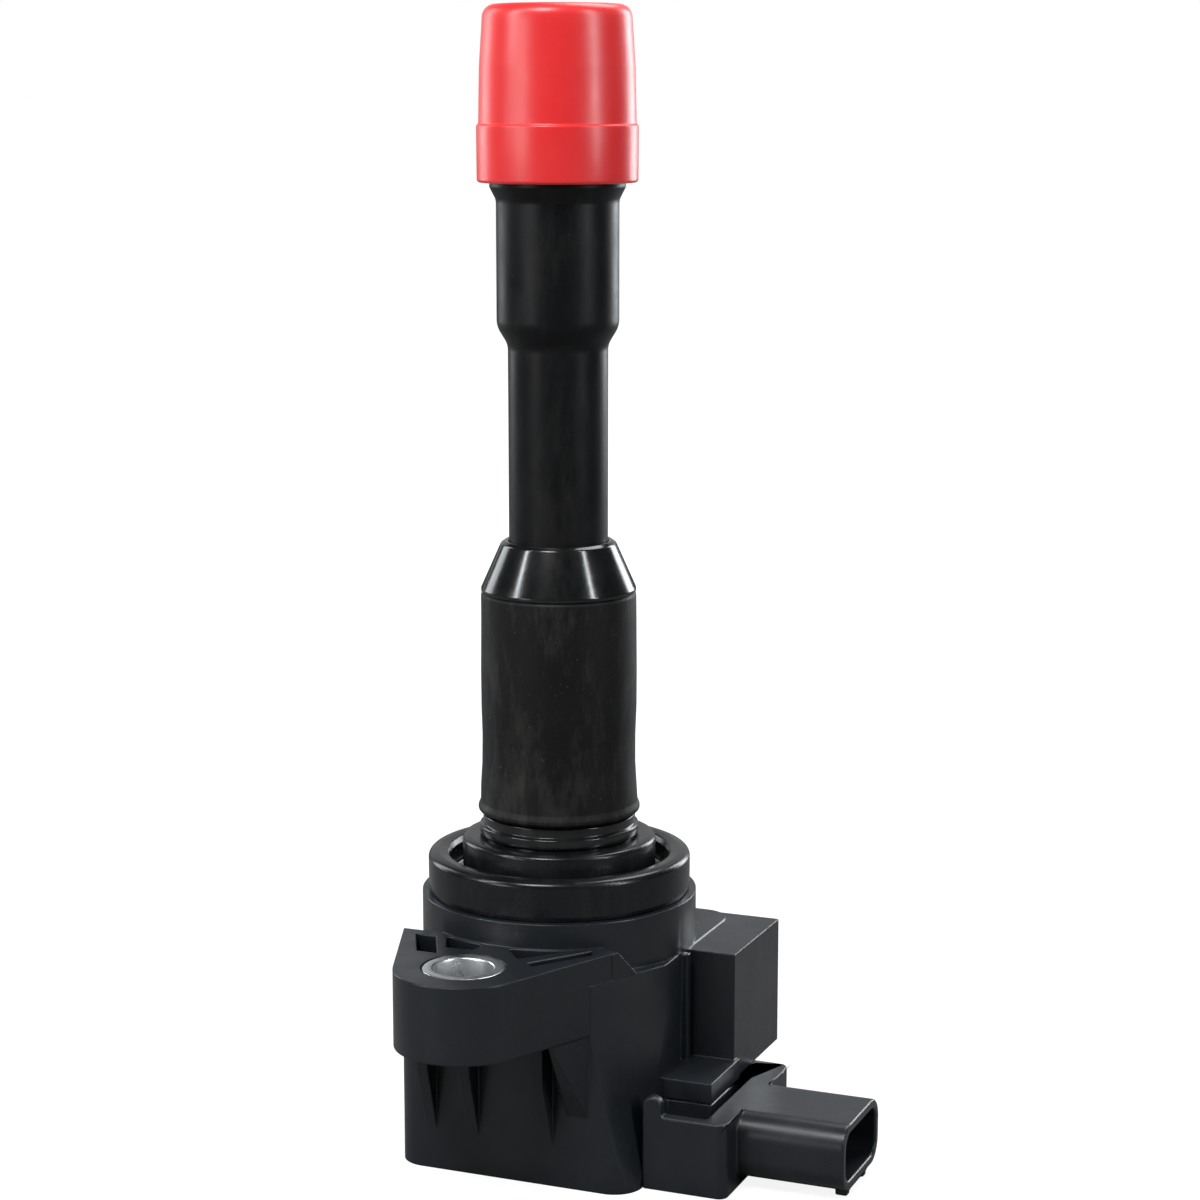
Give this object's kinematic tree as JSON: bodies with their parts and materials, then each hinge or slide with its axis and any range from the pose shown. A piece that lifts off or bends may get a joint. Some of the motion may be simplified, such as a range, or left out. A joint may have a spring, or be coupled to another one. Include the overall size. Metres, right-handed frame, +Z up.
{
  "type": "ignition coil",
  "caption": "Plug-top ignition coil with a bolt ear, a side connector, a plug-hole seal, a rubber plug boot and a removable red shipping cap.",
  "frame": {"origin": "on the stalk's axis, in the plane of the head's flat underside", "axes": "+Z up the stalk towards the plug end, +X towards the connector, the bolt ear on the -Y side"},
  "size_m": [0.0567, 0.0505, 0.1365],
  "materials": {
    "black_nylon": "satin moulded glass-filled nylon",
    "aluminium": "turned, bright end face",
    "tinned_brass": "stamped",
    "moulding_compound": "matt epoxy moulding",
    "copper_plate": "stamped",
    "lead_metal": "tinned",
    "core_steel": "laminated, oiled",
    "magnet": "sintered",
    "cushion_rubber": "soft matt",
    "bobbin_plastic": "moulded",
    "enamelled_wire": "enamelled copper wire",
    "bobbin_dark": "moulded",
    "fine_wire": "enamelled copper wire",
    "epoxy": "cast epoxy",
    "tower_plastic": "glossy moulding",
    "sleeve_rubber": "matt, slightly dusty",
    "seal_rubber": "smooth, slight gloss",
    "boot_rubber": "smooth, satin",
    "spring_steel": "drawn wire",
    "ceramic": "fired",
    "red_plastic": "soft waxy moulding"
  },
  "bodies": {
    "coil": {"housing": "black_nylon", "bolt_sleeve": "aluminium", "connector_body": "black_nylon", "terminal_power": "tinned_brass", "terminal_ground": "tinned_brass", "terminal_signal": "tinned_brass", "ignitor_module": "moulding_compound", "ignitor_plate": "copper_plate", "ignitor_leads": "lead_metal", "center_core": "core_steel", "outer_core": "core_steel", "core_magnet": "magnet", "core_cushion": "cushion_rubber", "primary_bobbin": "bobbin_plastic", "primary_winding": "enamelled_wire", "secondary_bobbin": "bobbin_dark", "secondary_winding": "fine_wire", "hv_diode": "moulding_compound", "hv_terminal": "tinned_brass", "potting_layer": "epoxy", "hv_tower": "tower_plastic", "tower_sleeve": "sleeve_rubber", "plug_hole_seal": "seal_rubber", "lower_spring": "spring_steel", "resistor_cap_lower": "lead_metal", "noise_resistor": "ceramic", "resistor_cap_upper": "lead_metal", "contact_spring": "spring_steel", "plug_boot": "boot_rubber"},
    "contact": {"contact_tip": "tinned_brass"},
    "cap": {"shipping_cap": "red_plastic"}
  },
  "joints": [
    {"name": "cap_pull", "type": "slide", "parent": "coil", "child": "cap", "axis": [0, 0, 1], "range_m": [0, 0.06]},
    {"name": "contact_press", "type": "slide", "parent": "coil", "child": "contact", "axis": [0, 0, -1], "range_m": [0, 0.004], "stiffness_N_per_m": 900, "deforming": ["contact_spring"]}
  ]
}
